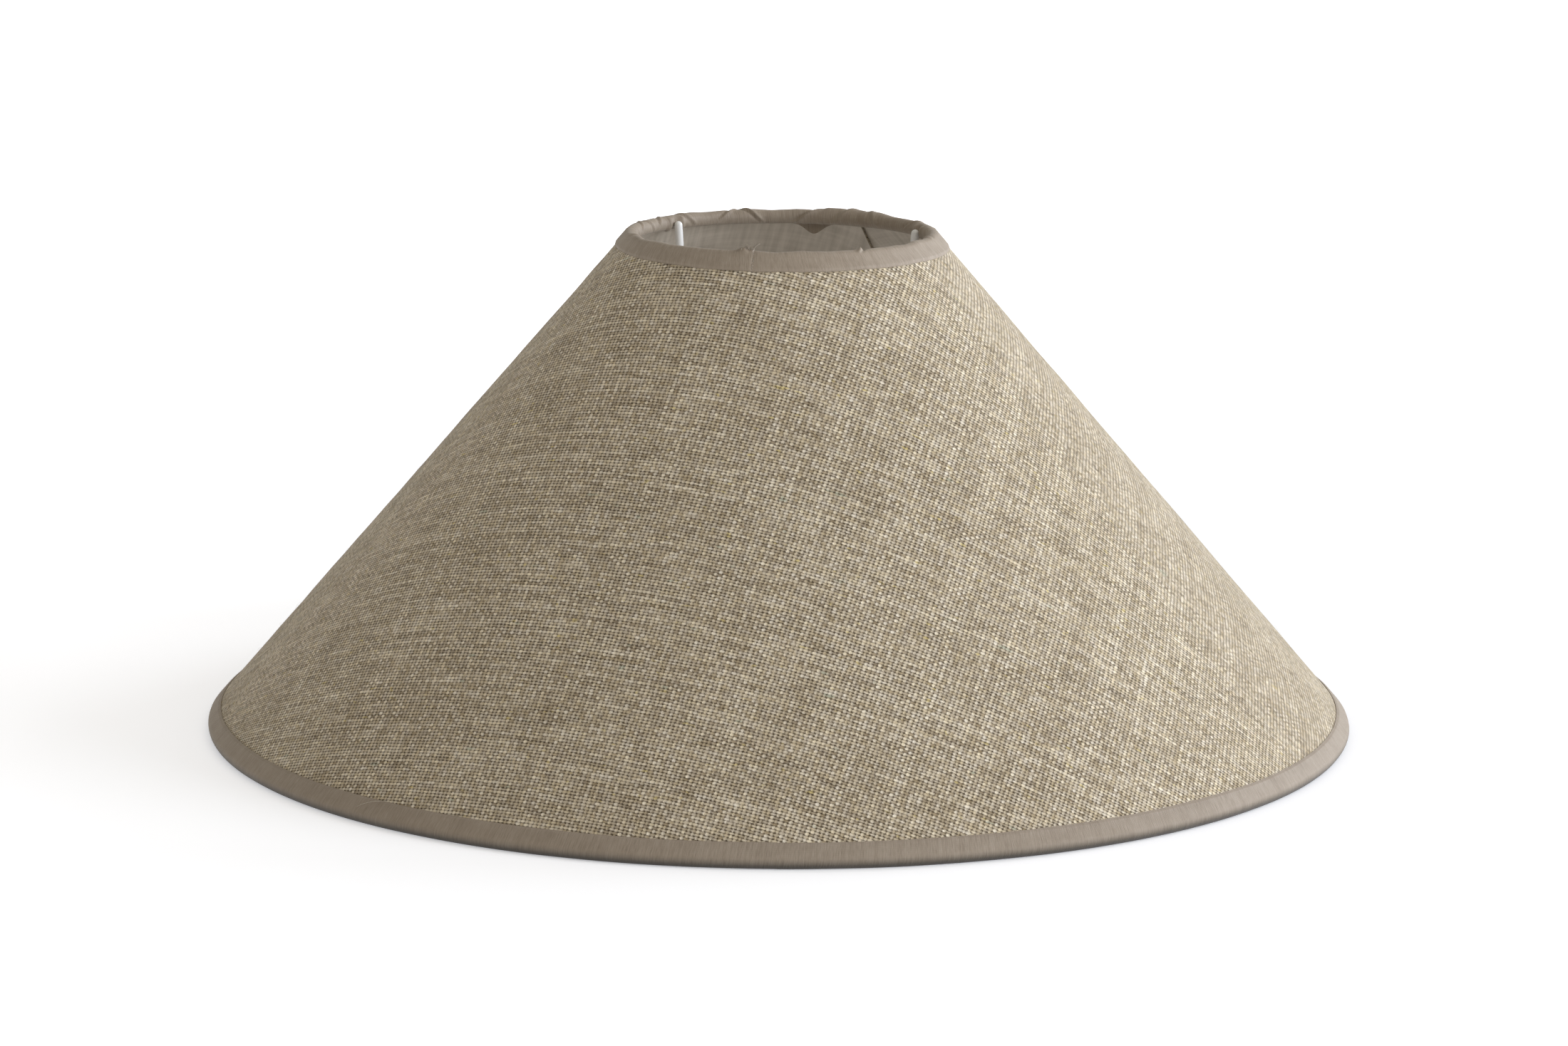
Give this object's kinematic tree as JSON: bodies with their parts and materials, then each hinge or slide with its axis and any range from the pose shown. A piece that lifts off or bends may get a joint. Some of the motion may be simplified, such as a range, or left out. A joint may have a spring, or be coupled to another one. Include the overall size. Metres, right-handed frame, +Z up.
{
  "type": "lamp shade",
  "caption": "Wide conical hard-back lamp shade: slubby natural linen on a stiff liner, taped wire rings, and a recessed fitter ring on coated arms.",
  "frame": {"origin": "centre of the bottom rim, on the surface that the shade stands on", "axes": "+Z up along the cone's axis, out of the top mouth; -Y is the front and the sheet's seam is at the back, 30 degrees towards +X"},
  "size_m": [0.45, 0.45, 0.1959],
  "materials": {
    "linen": "plain-woven natural flax with slubs and flecks, dry and matt",
    "liner": "satin off-white styrene sheet, slightly translucent",
    "adhesive": "clear double-sided tape",
    "ring_wire": "drawn steel wire",
    "edging_tape": "taupe cotton tape with fine cross ribs, matt",
    "white_coating": "white powder coat, satin"
  },
  "bodies": {
    "root": {"linen_cover": "linen", "liner": "liner", "seam_tape": "adhesive", "top_ring": "ring_wire", "bottom_ring": "ring_wire", "top_trim": "edging_tape", "bottom_trim": "edging_tape", "fitter_ring": "white_coating", "fitter_arm_1": "white_coating", "fitter_arm_2": "white_coating", "fitter_arm_3": "white_coating"}
  },
  "joints": []
}
